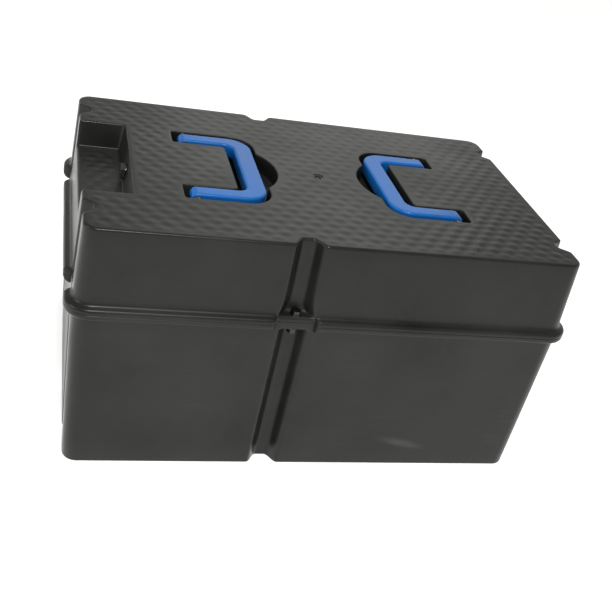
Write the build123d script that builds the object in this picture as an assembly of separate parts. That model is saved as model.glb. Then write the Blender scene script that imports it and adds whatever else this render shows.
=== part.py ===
"""Buried battery box for a solar street light, in millimetres.

A deep lid bolts down on a base through six pads on a common flange. Two blue carrying
handles fold into pockets in the lid, and a cable gland opens into a recess at the left end.
+X runs along the box to the right, +Y to the back, +Z up. The origin is on the ground,
in the middle of the foot.
"""
from build123d import *
from math import atan2, cos, radians, tan
import os

os.makedirs("parts", exist_ok=True)

# ---- Box walls ----
body_length = 560.0        # over the walls at the seam
body_width = 355.0
seam_height = 205.0        # the flange faces meet here
lid_height = 93.0
base_draft = 3.6           # each wall leans in by this much, from seam to foot
lid_draft = 4.5            # and from seam to lid top
corner_radius = 20.0
base_wall = 4.0
lid_wall = 3.6
floor_thickness = 5.0
top_thickness = 4.5
foot_edge_radius = 2.0
top_edge_radius = 3.0

# ---- Vertical grooves that give room for the bolts ----
side_groove_x = -46.0      # one in each long side, off centre
side_groove_mouth = 15.5   # half width at the wall's outside
side_groove_floor = 7.0    # half width of the floor
side_groove_depth = 14.0
end_groove_edge = 51.5     # two in each end, this far from the long sides
end_groove_mouth = 13.0
end_groove_floor = 4.5
end_groove_depth = 13.0
shoulder_radius = 10.5
groove_floor_radius = 3.0

# ---- Flange and bolt pads ----
bead_width = 8.0           # how far the flange stands out of the walls
lid_flange = 6.5           # thickness of each half of the flange
base_flange = 6.5
flange_inset = 9.5         # how far the flange reaches in from the walls' outside
bead_edge_radius = 3.0
pad_half_side = 23.0       # the bead stops this far from a bolt
pad_half_end = 19.0
bead_end_radius = 4.0
bead_root_radius = 3.0
base_pad = 10.0            # thickness of the base at each bolt
flare_rise = 26.0          # the lid's grooves widen towards the pads, from this height
flare_margin = 1.0         # the flare's mouth is this much narrower than the pad, each side
flare_floor_spread = 3.0   # and at the groove's floor this much wider than it
flare_floor_close = 2.0    # down from this much narrower, where the flare starts
flare_bend = 0.2           # share of the rise at which a flare's side turns
flare_overhang = 3.0       # the flare cutter starts this far outside the wall
flare_step = 1.3           # and stops this far short of the groove's floor

# ---- Seal ----
channel_inset = 5.0        # from the walls' outside to the middle of the seal
channel_width = 4.2
channel_depth = 4.5
seal_side_gap = 0.15
tongue_gap = 0.6           # each side of the lid's tongue
tongue_height = 1.9

# ---- Bolts, M6 ----
bolt_radius = 3.0
bolt_end_chamfer = 0.6
bolt_head_flats = 10.0
bolt_head_height = 4.0
bolt_tail = 1.8            # thread standing past the nut
bolt_hole_gap = 0.35
nut_flats = 10.0
nut_height = 5.0
thread_gap = 0.08
washer_radius = 6.0
washer_thickness = 1.2
washer_gap = 0.4           # from a washer to the groove's floor
hexagon_clearance = 0.2    # from a hexagon's corners to the disc that rounds them off
hexagon_chamfer = 0.55     # share of the disc's reach past the flats
retainer_radius = 5.5
retainer_thickness = 1.2

# ---- Carrying handles ----
grip_outside = 73.5        # from the middle of the lid to the grip's nearer face
grip_width = 22.0
handle_half_span = 80.5    # across to the outside of a leg
leg_width = 19.0
handle_thickness = 16.0
handle_proud = 1.5         # how far the handle stands above the lid
pivot_x = 153.0
handle_outer_radius = 27.0
handle_inner_radius = 12.0
handle_edge_radius = 3.0

# ---- Handle pockets ----
pocket_grip_gap = 4.5      # from the pocket's wall to the folded grip
pocket_leg_gap = 7.0       # past the ends of the folded legs
pocket_outer_radius = 28.5
pocket_side_gap = 7.5      # outside each leg
pocket_floor_gap = 5.5     # under the folded handle
pocket_wall = 3.0
pocket_corner_radius = 4.0
pocket_edge_radius = 1.0
island_gap_x = 10.0        # finger room between the grip and the island
island_gap_y = 4.5
island_corner_radius = 6.0
finger_reach = 18.0        # how far the finger recess bows past the grip
finger_half_width = 45.0
rest_length = 10.0
rest_margin = 3.0          # a rest is this much narrower than a leg, each side
rest_gap = 0.3

# ---- Handle pins ----
pin_radius = 3.0
pin_press = 0.02
pin_run = 0.08
boss_thickness = 8.0
boss_half_length = 8.0
pin_blind_wall = 2.0
plug_radius = 4.8
plug_depth = 2.5
spacer_radius = 5.5
spacer_gap = 0.3

# ---- Cable recess and gland ----
recess_length = 54.0       # from the wall at the seam
recess_land = 36.0         # from the middle of an end groove to the recess
recess_depth = 30.0
recess_wall = 3.6
gland_drop = 18.0          # from the lid top down to the cable
gland_thread_radius = 6.0
gland_bore = 4.2
gland_flats = 17.0
gland_hole_gap = 0.3
lock_nut_height = 5.0
face_seal_thickness = 1.0
face_seal_margin = 0.3     # inside the flats
gland_flange = 4.0
gland_neck_radius = 7.2
gland_neck_length = 9.0
insert_radius = 5.6
insert_bore = 3.8
insert_length = 8.0
insert_nose = 1.5
cap_wall = 2.2
cap_end = 2.0
cap_gap = 0.5              # from the gland's hexagon
cap_chamfer = 1.5
cap_mouth_gap = 0.6        # the cap's mouth is this much wider than the bush's bore

# ---- Modelling ----
cut_over = 1.0             # how far a cutter runs past the face it opens
cut_past = 20.0            # and past an open end
round_end_land = 0.01      # flat left in the middle of a full round
near = 1e-3                # edges this close to a plane lie in it

# ---- Worked out ----
top_z = seam_height + lid_height
pad_top = seam_height + lid_flange
pad_bottom = seam_height - base_pad
pivot_z = top_z + handle_proud - handle_thickness / 2
side_groove = (side_groove_mouth, side_groove_floor, side_groove_depth)
end_groove = (end_groove_mouth, end_groove_floor, end_groove_depth)
end_groove_y = body_width / 2 - end_groove_edge
pocket_half_width = handle_half_span + pocket_side_gap
pocket_depth = handle_thickness - handle_proud + pocket_floor_gap
pocket_floor_z = top_z - pocket_depth
island_x = grip_outside + grip_width + island_gap_x
island_half_width = handle_half_span - leg_width - island_gap_y
pocket_end_x = pivot_x + handle_thickness / 2 + pocket_leg_gap
pocket_near_x = grip_outside - pocket_grip_gap
recess_wall_x = recess_length - body_length / 2
recess_half_width = end_groove_y - recess_land
gland_z = top_z - gland_drop


def notched_plan(length, width, radius, side_notch, end_notch):
    """Closed plan of a rounded rectangle, with one notch in each long side and two in each end.

    A notch is a list of (half width, depth, corner radius), from its mouth inwards.
    """
    half_length = length / 2
    half_width = width / 2
    end_places = (half_width - end_groove_y, half_width + end_groove_y)
    sides = (
        (Vector(-half_length, -half_width), Vector(1, 0), side_notch, (half_length + side_groove_x,)),
        (Vector(half_length, -half_width), Vector(0, 1), end_notch, end_places),
        (Vector(half_length, half_width), Vector(-1, 0), side_notch, (half_length - side_groove_x,)),
        (Vector(-half_length, half_width), Vector(0, -1), end_notch, end_places),
    )
    points = []
    radii = []
    for corner, along, notch, places in sides:
        inward = Vector(-along.Y, along.X)
        points.append(corner)
        radii.append(radius)
        for place in places:
            for way, steps in ((-1, notch), (1, notch[::-1])):
                for half, depth, corner_r in steps:
                    points.append(corner + along * (place + way * half) + inward * depth)
                    radii.append(corner_r)
    return make_face(FilletPolyline(*points, radius=radii, close=True))


def wall_plan(height, draft, inset=0.0):
    """Plan of the walls, drawn in by draft from their size at the seam, inset to give a wall."""
    notches = []
    for mouth, floor, depth in (side_groove, end_groove):
        spread = inset * tan(atan2(depth, mouth - floor) / 2)
        notches.append([
            (mouth + spread, 0.0, shoulder_radius - inset),
            (floor + spread, depth, groove_floor_radius + inset),
        ])
    shrink = 2 * (draft + inset)
    plan = notched_plan(
        body_length - shrink, body_width - shrink, corner_radius - inset, notches[0], notches[1]
    )
    return Pos(0, 0, height) * plan


def draft_at(height):
    """How far a wall leans in at this height."""
    if height < seam_height:
        return base_draft * (seam_height - height) / seam_height
    return lid_draft * (height - seam_height) / lid_height


def wall_block(low, high, inset=0.0):
    """Solid between two heights, inside the walls' faces moved in by inset."""
    plans = [wall_plan(z, draft_at(z), inset) for z in (low, high)]
    return loft(plans, ruled=True)


def flange_plate(low, high, round_top):
    """One half of the flange, with its outer edge rounded away from the seam."""
    notches = []
    for half in (pad_half_side, pad_half_end):
        notches.append([(half, 0.0, bead_end_radius), (half, bead_width, bead_root_radius)])
    plan = notched_plan(
        body_length + 2 * bead_width,
        body_width + 2 * bead_width,
        corner_radius + bead_width,
        notches[0],
        notches[1],
    )
    plate = extrude(Pos(0, 0, low) * plan, high - low)
    edge_z = high if round_top else low
    edges = [e for e in plate.edges() if abs(e.center().Z - edge_z) < near]
    return fillet(edges, bead_edge_radius)


def bolt_places():
    """A frame at each bolt: origin on the wall at the seam, x along the wall, y into the box."""
    places = []
    for turn, x, y in ((0, side_groove_x, -body_width / 2), (180, side_groove_x, body_width / 2)):
        places.append((Pos(x, y, 0) * Rot(0, 0, turn), side_groove, pad_half_side))
    for way, turn in ((1, 90), (-1, -90)):
        for y in (-end_groove_y, end_groove_y):
            places.append((Pos(way * body_length / 2, y, 0) * Rot(0, 0, turn), end_groove, pad_half_end))
    return places


def at_bolts(shape):
    """Copies of a shape drawn on the Z axis, one at each bolt, clear of the groove's floor."""
    return [
        place * Pos(0, groove[2] - washer_radius - washer_gap, 0) * shape
        for place, groove, pad_half in bolt_places()
    ]


def base_pads():
    """Block of the base's material at each bolt."""
    return [
        place * box_between(-half, half, 0, groove[2] + base_wall, pad_bottom, seam_height)
        for place, groove, half in bolt_places()
    ]


def disc(radius, low, high):
    """Upright cylinder between two heights."""
    return Pos(0, 0, low) * Cylinder(radius, high - low, align=(Align.CENTER, Align.CENTER, Align.MIN))


def hexagon(flats, low, high):
    """Upright hexagonal prism between two heights, with its corners taken off."""
    prism = extrude(Pos(0, 0, low) * RegularPolygon(flats / 2, 6, major_radius=False), high - low)
    disc_radius = flats / 2 / cos(radians(30)) + hexagon_clearance
    corner_cut = (disc_radius - flats / 2) * hexagon_chamfer
    round_off = disc(disc_radius, low, high)
    return prism & chamfer(round_off.edges().filter_by(GeomType.CIRCLE), corner_cut)


def flare(groove, pad_half, grow):
    """Bell mouth where a lid groove widens on to its pad, in the frame of a bolt place."""
    mouth, floor, depth = groove
    sections = []
    for y, low_half, high_half in (
        (-flare_overhang, pad_half - flare_margin, mouth - flare_margin),
        (depth - flare_step + grow, floor + flare_floor_spread, floor - flare_floor_close),
    ):
        low_half += grow
        high_half += grow
        rise = flare_rise + grow
        bend = rise * flare_bend
        right = Bezier((low_half, 0), (high_half, bend), (high_half, rise))
        left = Bezier((-high_half, rise), (-high_half, bend), (-low_half, 0))
        outline = [right, Line(right @ 1, left @ 0), left, Line(left @ 1, right @ 0)]
        sections.append(Pos(0, y, pad_top) * Rot(90, 0, 0) * make_face(outline))
    return loft(sections, ruled=True)


def handle_plan():
    """Plan of the right handle: a U with its grip near the middle of the lid."""
    far_x = pivot_x + handle_thickness / 2
    outer = fillet(
        (Pos((grip_outside + far_x) / 2, 0) * Rectangle(far_x - grip_outside, 2 * handle_half_span))
        .vertices().group_by(Axis.X)[0],
        handle_outer_radius,
    )
    inside_x = grip_outside + grip_width
    gap_length = far_x - inside_x + cut_past
    inner = fillet(
        (Pos(inside_x + gap_length / 2, 0) * Rectangle(gap_length, 2 * (handle_half_span - leg_width)))
        .vertices().group_by(Axis.X)[0],
        handle_inner_radius,
    )
    return outer - inner


def pocket_plan():
    """Plan of the right handle's pocket: a U around the island, bowed out for the fingers."""
    length = pocket_end_x - pocket_near_x
    outer = Pos((pocket_end_x + pocket_near_x) / 2, 0) * Rectangle(length, 2 * pocket_half_width)
    outer = fillet(outer.vertices().group_by(Axis.X)[0], pocket_outer_radius)
    outer = fillet(outer.vertices().group_by(Axis.X)[-1], pocket_corner_radius)
    bow = (finger_half_width**2 + finger_reach**2) / (2 * finger_reach)
    round_room = Pos(pocket_near_x - finger_reach + bow, 0) * Circle(bow)
    near_half = Pos(pocket_near_x, 0) * Rectangle(2 * finger_reach, 2 * pocket_half_width)
    island_length = pocket_end_x - island_x + cut_past
    island = Pos(island_x + island_length / 2, 0) * Rectangle(island_length, 2 * island_half_width)
    island = fillet(island.vertices().group_by(Axis.X)[0], island_corner_radius)
    return outer + (round_room & near_half) - island


def box_between(x0, x1, y0, y1, z0, z1):
    """Box between two corners."""
    return Pos((x0 + x1) / 2, (y0 + y1) / 2, (z0 + z1) / 2) * Box(x1 - x0, y1 - y0, z1 - z0)


def both_ways(shape):
    """The shape on the right of the lid, and its turned copy on the left."""
    return [shape, Rot(0, 0, 180) * shape]


def cylinder_y(radius, x, y0, y1, z):
    """Cylinder along Y."""
    return Pos(x, (y0 + y1) / 2, z) * Rot(90, 0, 0) * Cylinder(radius, abs(y1 - y0))


def cylinder_x(radius, x0, x1):
    """Cylinder along X, on the gland's axis."""
    return Pos((x0 + x1) / 2, 0, gland_z) * Rot(0, 90, 0) * Cylinder(radius, abs(x1 - x0))


def hexagon_x(flats, x0, x1):
    """Hexagonal prism along X, on the gland's axis."""
    return Pos(0, 0, gland_z) * Rot(0, 90, 0) * hexagon(flats, x0, x1)


def seal_band(half_width):
    """Plan ring that follows the seal, this far each side of its middle."""
    outside = wall_plan(0, 0, channel_inset - half_width)
    return outside - wall_plan(0, 0, channel_inset + half_width)


# ---- Base ----
def base_shell():
    """The open tub that holds the battery, with its half of the flange and six bolt pads."""
    foot = wall_block(0, seam_height)
    foot = fillet(foot.edges().group_by(Axis.Z)[0], foot_edge_radius)
    body = foot + flange_plate(seam_height - base_flange, seam_height, round_top=False)
    body += base_pads()
    rim_under = seam_height - base_flange
    rim = wall_block(rim_under, seam_height) - wall_block(rim_under, seam_height, flange_inset)
    hollow = wall_block(floor_thickness, seam_height, base_wall) - rim
    body -= hollow - base_pads()
    body -= Pos(0, 0, seam_height - channel_depth) * extrude(seal_band(channel_width / 2), channel_depth)
    body -= at_bolts(disc(bolt_radius + bolt_hole_gap, pad_bottom - cut_over, seam_height + cut_over))
    return body


def perimeter_seal():
    """Rubber ring lying in the base's channel, up to the lid's tongue."""
    height = channel_depth - tongue_height
    plan = seal_band(channel_width / 2 - seal_side_gap)
    return Pos(0, 0, seam_height - channel_depth) * extrude(plan, height)


# ---- Lid ----
def lid_shell():
    """The deep lid: walls, flange, tongue, bolt pads, handle pockets and cable recess."""
    body = wall_block(seam_height, top_z)
    body = fillet(body.edges().group_by(Axis.Z)[-1], top_edge_radius)
    body += flange_plate(seam_height, pad_top, round_top=True)
    hollow = wall_block(pad_top, top_z - top_thickness, lid_wall)
    hollow += wall_block(seam_height, pad_top, flange_inset)
    for place, groove, pad_half in bolt_places():
        hollow -= place * flare(groove, pad_half, lid_wall)
    pockets = both_ways(pocket_plan())
    for plan in pockets:
        hollow -= Pos(0, 0, pocket_floor_z - pocket_wall) * extrude(
            offset(plan, pocket_wall), pocket_depth + pocket_wall
        )
    hollow -= pin_bosses()
    hollow -= box_between(
        -body_length / 2, recess_wall_x + recess_wall, -recess_half_width - recess_wall,
        recess_half_width + recess_wall, top_z - recess_depth - recess_wall, top_z,
    )
    body -= hollow
    for place, groove, pad_half in bolt_places():
        body -= place * flare(groove, pad_half, 0)
    for plan in pockets:
        body -= Pos(0, 0, pocket_floor_z) * extrude(plan, pocket_depth)
    recess = box_between(
        -body_length, recess_wall_x, -recess_half_width, recess_half_width,
        top_z - recess_depth, top_z + cut_over,
    )
    body -= recess
    body += handle_rests()
    body += Pos(0, 0, seam_height - tongue_height) * extrude(
        seal_band(channel_width / 2 - tongue_gap), tongue_height
    )
    body -= at_bolts(disc(bolt_radius + bolt_hole_gap, seam_height - cut_over, pad_top + cut_over))
    body -= at_bolts(disc(retainer_radius, seam_height, seam_height + retainer_thickness))
    body -= pin_bores()
    gland_hole = gland_thread_radius + gland_hole_gap
    body -= cylinder_x(gland_hole, recess_wall_x - cut_over, recess_wall_x + recess_wall + cut_over)
    return body


def pin_bosses():
    """Blocks under the lid's skin, each side of every leg, that hold the pins."""
    bosses = []
    for x_way in (-1, 1):
        for y_way in (-1, 1):
            for inner, outer in (
                (island_half_width - boss_thickness, island_half_width),
                (pocket_half_width, pocket_half_width + boss_thickness),
            ):
                centre = Pos(x_way * pivot_x, y_way * (inner + outer) / 2, (pocket_floor_z + top_z) / 2)
                size = (2 * boss_half_length, outer - inner, pocket_depth + 2 * pocket_wall)
                bosses.append(centre * Box(*size))
    return bosses


def pin_bores():
    """Bores for the pins, blind on the island's side, with a counterbore for each plug."""
    blind = island_half_width - boss_thickness + pin_blind_wall
    outside = pocket_half_width + boss_thickness
    cuts = []
    for x in (-pivot_x, pivot_x):
        for way in (-1, 1):
            cuts.append(cylinder_y(pin_radius + pin_press, x, way * blind, way * outside, pivot_z))
            plug_start = way * (outside - plug_depth)
            cuts.append(cylinder_y(plug_radius, x, plug_start, way * (outside + cut_over), pivot_z))
    return cuts


def handle_rests():
    """Low blocks on the pocket floors that the folded handles' legs lie on."""
    low = pocket_floor_z - cut_over
    high = pivot_z - handle_thickness / 2 - rest_gap
    middle = handle_half_span - leg_width / 2
    half = leg_width / 2 - rest_margin
    x0 = island_x + rest_length
    block = box_between(x0, x0 + rest_length, middle - half, middle + half, low, high)
    blocks = [block, Rot(0, 0, 180) * block, mirror(block, Plane.XZ)]
    blocks.append(Rot(0, 0, 180) * blocks[2])
    return blocks


# ---- Handles ----
def right_handle():
    """Blue carrying handle, folded flat, with round leg ends about its pivot."""
    low = pivot_z - handle_thickness / 2
    bar = Pos(0, 0, low) * extrude(handle_plan(), handle_thickness)
    edges = [e for e in bar.edges() if abs(abs(e.center().Z - pivot_z) - handle_thickness / 2) < near]
    far_x = pivot_x + handle_thickness / 2
    edges = [e for e in edges if e.center().X < far_x - near]
    bar = fillet(edges, handle_edge_radius)
    side = Pos((grip_outside + far_x) / 2, pivot_z) * Rectangle(far_x - grip_outside, handle_thickness)
    side = fillet(side.vertices().group_by(Axis.X)[-1], handle_thickness / 2 - round_end_land)
    profile = Plane.XZ * side
    bar &= extrude(profile, 2 * handle_half_span, both=True)
    for way in (-1, 1):
        bar -= cylinder_y(
            pin_radius + pin_run, pivot_x, way * island_half_width, way * pocket_half_width, pivot_z
        )
    return bar


def handle_pin(x_way, y_way):
    """Steel pin through one leg, pressed into the bosses each side of it."""
    blind = island_half_width - boss_thickness + pin_blind_wall
    outside = pocket_half_width + boss_thickness - plug_depth
    return cylinder_y(pin_radius, x_way * pivot_x, y_way * blind, y_way * outside, pivot_z)


def handle_spacers():
    """Plastic sleeves on the pins, which keep the legs in the middle of their slots."""
    spacers = []
    for x in (-pivot_x, pivot_x):
        for way in (-1, 1):
            for inner, outer in (
                (island_half_width, handle_half_span - leg_width - spacer_gap),
                (handle_half_span + spacer_gap, pocket_half_width),
            ):
                sleeve = cylinder_y(spacer_radius, x, way * inner, way * outer, pivot_z)
                sleeve -= cylinder_y(pin_radius + pin_press, x, way * inner, way * outer, pivot_z)
                spacers.append(sleeve)
    return spacers


def pin_plugs():
    """Rubber plugs that close the pins' bores inside the lid."""
    outside = pocket_half_width + boss_thickness
    return [
        cylinder_y(plug_radius - pin_press, x, way * (outside - plug_depth), way * outside, pivot_z)
        for x in (-pivot_x, pivot_x) for way in (-1, 1)
    ]


# ---- Fasteners ----
def flange_bolts():
    """Six hexagon-head bolts down through the pads."""
    seat = pad_top + washer_thickness
    tip = pad_bottom - washer_thickness - nut_height - bolt_tail
    shank = chamfer(disc(bolt_radius, tip, seat).edges().group_by(Axis.Z)[0], bolt_end_chamfer)
    return at_bolts(shank + hexagon(bolt_head_flats, seat, seat + bolt_head_height))


def bolt_washers():
    """Flat washers under the bolt heads."""
    ring = disc(washer_radius, pad_top, pad_top + washer_thickness)
    return at_bolts(ring - disc(bolt_radius + bolt_hole_gap, pad_top, pad_top + washer_thickness))


def bolt_retainers():
    """Nylon rings in the underside of the lid's pads, which keep the undone bolts in the lid."""
    high = seam_height + retainer_thickness
    ring = disc(retainer_radius - pin_press, seam_height, high)
    return at_bolts(ring - disc(bolt_radius + pin_press, seam_height, high))


def nut_washers():
    """Flat washers above the nuts."""
    low = pad_bottom - washer_thickness
    ring = disc(washer_radius, low, pad_bottom)
    return at_bolts(ring - disc(bolt_radius + bolt_hole_gap, low, pad_bottom))


def flange_nuts():
    """Six nuts under the base's pads."""
    high = pad_bottom - washer_thickness
    nut = hexagon(nut_flats, high - nut_height, high)
    return at_bolts(nut - disc(bolt_radius + thread_gap, high - nut_height, high))


# ---- Cable gland, from the recess inwards ----
wall_inside = recess_wall_x + recess_wall
flange_start = wall_inside + face_seal_thickness
neck_start = flange_start + gland_flange
neck_end = neck_start + gland_neck_length
nut_outside = recess_wall_x - lock_nut_height


def gland_lock_nut():
    """Low nut in the recess, which holds the gland to the lid."""
    nut = hexagon_x(gland_flats, nut_outside, recess_wall_x)
    return nut - cylinder_x(gland_thread_radius + thread_gap, nut_outside, recess_wall_x)


def gland_body():
    """Threaded tube through the recess wall, with a hexagon and a neck for the cap."""
    tube = cylinder_x(gland_thread_radius, nut_outside, flange_start)
    body = tube + hexagon_x(gland_flats, flange_start, neck_start)
    body += cylinder_x(gland_neck_radius, neck_start, neck_end)
    body -= cylinder_x(gland_bore, nut_outside, neck_end)
    seat_start = neck_end - insert_length + insert_nose
    return body - cylinder_x(insert_radius + seal_side_gap, seat_start, neck_end)


def gland_face_seal():
    """Flat rubber ring between the gland's hexagon and the recess wall."""
    ring = cylinder_x(gland_flats / 2 - face_seal_margin, wall_inside, flange_start)
    return ring - cylinder_x(gland_thread_radius + seal_side_gap, wall_inside, flange_start)


def gland_insert():
    """Rubber bush that closes round the cable."""
    start = neck_end - insert_length + insert_nose
    bush = cylinder_x(insert_radius, start, neck_end + insert_nose)
    return bush - cylinder_x(insert_bore, start, neck_end + insert_nose)


def gland_cap():
    """Nut that squeezes the rubber bush."""
    start = neck_start + cap_gap
    end = neck_end + insert_nose + cap_end
    outside = gland_neck_radius + cap_wall
    cap = chamfer(cylinder_x(outside, start, end).edges().group_by(Axis.X)[-1], cap_chamfer)
    cap -= cylinder_x(gland_neck_radius + thread_gap, start, neck_end)
    cap -= cylinder_x(insert_radius + seal_side_gap, neck_end, neck_end + insert_nose)
    return cap - cylinder_x(insert_bore + cap_mouth_gap, start, end)


# ---- Assembly ----
def save(name, shape):
    """Write one node's STEP file."""
    solids = shape if isinstance(shape, list) else [shape]
    pieces = [solid for item in solids for solid in item.solids()]
    export_step(pieces[0] if len(pieces) == 1 else Compound(children=pieces), f"parts/{name}.step")


folded = right_handle()
nodes = {
    "base_shell": base_shell(),
    "perimeter_seal": perimeter_seal(),
    "lid_shell": lid_shell(),
    "right_handle": folded,
    "left_handle": Rot(0, 0, 180) * folded,
    "right_front_pin": handle_pin(1, -1),
    "right_back_pin": handle_pin(1, 1),
    "left_front_pin": handle_pin(-1, -1),
    "left_back_pin": handle_pin(-1, 1),
    "handle_spacers": handle_spacers(),
    "pin_plugs": pin_plugs(),
    "flange_bolts": flange_bolts(),
    "bolt_washers": bolt_washers(),
    "bolt_retainers": bolt_retainers(),
    "nut_washers": nut_washers(),
    "flange_nuts": flange_nuts(),
    "gland_lock_nut": gland_lock_nut(),
    "gland_body": gland_body(),
    "gland_face_seal": gland_face_seal(),
    "gland_insert": gland_insert(),
    "gland_cap": gland_cap(),
}
for node, shape in nodes.items():
    save(node, shape)
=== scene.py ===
"""A buried battery box: a deep lid bolted down on a base, with folding blue carrying handles
and a cable gland in a recess. Plan sizes are worked out in millimetres and meshes in metres.
"""

import math

import bmesh
import bpy
import numpy as np
from mathutils import Matrix, Vector
from mathutils.geometry import delaunay_2d_cdt


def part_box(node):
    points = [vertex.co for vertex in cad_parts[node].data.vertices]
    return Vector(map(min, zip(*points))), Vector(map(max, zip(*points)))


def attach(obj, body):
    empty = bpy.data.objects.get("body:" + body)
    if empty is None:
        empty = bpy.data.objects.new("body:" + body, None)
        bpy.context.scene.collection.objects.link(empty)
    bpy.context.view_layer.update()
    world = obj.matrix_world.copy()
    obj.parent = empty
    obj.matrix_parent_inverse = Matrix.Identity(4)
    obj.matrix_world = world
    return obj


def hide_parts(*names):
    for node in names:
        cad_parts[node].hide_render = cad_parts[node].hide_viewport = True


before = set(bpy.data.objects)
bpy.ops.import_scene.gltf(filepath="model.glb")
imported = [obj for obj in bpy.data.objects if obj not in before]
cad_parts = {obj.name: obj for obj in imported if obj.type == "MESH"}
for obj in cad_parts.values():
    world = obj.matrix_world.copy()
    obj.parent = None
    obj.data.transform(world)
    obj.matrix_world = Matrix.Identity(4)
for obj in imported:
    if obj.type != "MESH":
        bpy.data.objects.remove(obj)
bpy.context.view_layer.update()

# ---- Plan of the walls ----
# Base and lid are injection moulded in satin black polypropylene and share one plan: a rounded
# rectangle with a bell-shaped groove at each of the six bolts.
mm = 0.001
base_high = np.array(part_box("base_shell")[1]) / mm
lid_high = np.array(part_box("lid_shell")[1]) / mm
bead_reach = 8.0
half_length = base_high[0] - bead_reach
half_width = base_high[1] - bead_reach
seam = base_high[2]
corner_radius = 20.0
side_groove_x = -46.0
end_groove_y = 126.0
side_bolt = {"inner": 4.0, "outer": 20.0, "depth": 14.0, "pad": 23.0}
end_bolt = {"inner": 1.5, "outer": 17.5, "depth": 13.0, "pad": 19.0}
bead_end_length = 5.0
coarse_step = 9.0
fine_step = 1.1
groove_zone = 28.0


def smooth_step(t):
    """0 below 0 and 1 above 1, with a quintic between that is flat at both ends."""
    t = np.clip(t, 0, 1)
    return t**3 * (t * (6 * t - 15) + 10)


def marks(half, centres, extra=()):
    """Distances along a side: even steps, finer ones at each groove, and any extra ones."""
    coarse = np.linspace(-half, half, int(2 * half / coarse_step) + 1)
    turn = np.radians(np.linspace(0, 90, 9))
    kept = [coarse[np.min(np.abs(coarse[:, None] - np.array(centres)), axis=1) > groove_zone]]
    for centre in centres:
        fine = np.arange(-groove_zone, groove_zone + fine_step / 2, fine_step)
        pad = side_bolt["pad"] if len(centres) == 1 else end_bolt["pad"]
        ends = pad - 1 + bead_end_length * (1 - np.cos(turn))
        fine = fine[(np.abs(fine) < ends[0] - 0.3) | (np.abs(fine) > ends[-1] + 0.3)]
        kept += [centre + fine, centre + ends, centre - ends]
    if len(extra):
        at_extra = np.min(np.abs(kept[0][:, None] - np.array(extra)), axis=1)
        kept[0] = kept[0][at_extra > 0.6]
        kept.append(np.array(extra))
    return np.unique(np.round(np.concatenate(kept), 6))


def stations(left_extra):
    """Places round the walls, anticlockwise from the front. Each is a plan point on the wall at the
    seam, its outward direction, its distance along its side, its distance from the nearest groove's
    middle, and whether it is on a long side (0), the right end (1) or the left end (2)."""
    sides = (
        ((1, 0), half_length, half_width, [side_groove_x], (), 0),
        ((0, 1), half_width, half_length, [-end_groove_y, end_groove_y], (), 1),
        ((-1, 0), half_length, half_width, [-side_groove_x], (), 0),
        ((0, -1), half_width, half_length, [-end_groove_y, end_groove_y], left_extra, 2),
    )
    rows = []
    for along, half, away, centres, extra, kind in sides:
        t = np.array(along, float)
        n = np.array([t[1], -t[0]])
        u = marks(half - corner_radius, centres, extra)
        from_groove = np.min(np.abs(u[:, None] - np.array(centres)), axis=1)
        point = n * away + u[:, None] * t
        rows.append(np.column_stack([
            point, np.tile(n, (len(u), 1)), u, from_groove, np.full(len(u), kind)
        ]))
        turn = np.radians(np.linspace(0, 90, 17)[1:-1])
        out = np.cos(turn)[:, None] * n + np.sin(turn)[:, None] * t
        centre = n * (away - corner_radius) + t * (half - corner_radius)
        point = centre + corner_radius * out
        far = np.full(len(turn), 1e3)
        rows.append(np.column_stack([point, out, far, far, np.full(len(turn), kind)]))
    return np.concatenate(rows)


# the recess at the left end: how far in from its edge, and how high, its rounded rim, sloping
# wall and floor fillet are
lid_top = lid_high[2]
recess_half = 90.0
recess_inner_x = -222.0
recess_floor = lid_top - 30.0
recess_slope = 5.0
lid_wall = 3.6
quarter = np.radians(np.linspace(0, 90, 5))


def step_profile(radius, width, top, floor, fillet):
    """Section of a step down from a flat face: pairs of distance past the edge and height, over a
    rounded rim, down a wall that leans by width, and round a fillet on to the floor."""
    rim = np.column_stack([radius * (np.sin(quarter) - 1), top - radius * (1 - np.cos(quarter))])
    foot = np.column_stack([
        width + fillet * (1 - np.cos(quarter)), floor + fillet * (1 - np.sin(quarter))
    ])
    between = np.linspace(rim[-1], foot[0], 5)[1:-1]
    return np.concatenate([rim, between, foot])


recess_step = step_profile(1.8, recess_slope, lid_top, recess_floor, 2.0)
ceiling = lid_top - 4.5
recess_under = step_profile(1.0, recess_slope, ceiling, recess_floor - lid_wall, 1.0)
recess_under[:, 0] -= lid_wall
recess_marks = np.unique(np.concatenate([recess_step[:, 0], recess_under[:, 0]]).round(3))


def at_marks(profile):
    """The section with a point at every one of the recess's marks that it spans."""
    spanned = (recess_marks >= profile[0, 0] - 1e-3) & (recess_marks <= profile[-1, 0] + 1e-3)
    inside = recess_marks[spanned]
    return np.column_stack([inside, np.interp(inside, profile[:, 0], profile[:, 1])])


recess_step, recess_under = at_marks(recess_step), at_marks(recess_under)
recess_marks = recess_half - recess_marks
around = stations(np.concatenate([-recess_marks, recess_marks]))
plan, outward, along_side, from_groove, side_kind = (
    around[:, 0:2], around[:, 2:4], around[:, 4], around[:, 5], around[:, 6]
)
on_end = side_kind > 0


def by_side(key):
    """A groove's size at each station: the end grooves' on the ends, the side grooves' elsewhere."""
    return np.where(on_end, end_bolt[key], side_bolt[key])


def groove(flare=0.0):
    """How deep the groove is at each station: full depth out to its inner reach, nothing past its
    outer reach and a quintic between. A flare widens both."""
    inner = by_side("inner") + 5.5 * flare
    outer = by_side("outer") + np.where(on_end, 2.5, 4.5) * flare
    return by_side("depth") * (1 - smooth_step((from_groove - inner) / (outer - inner)))


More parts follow.
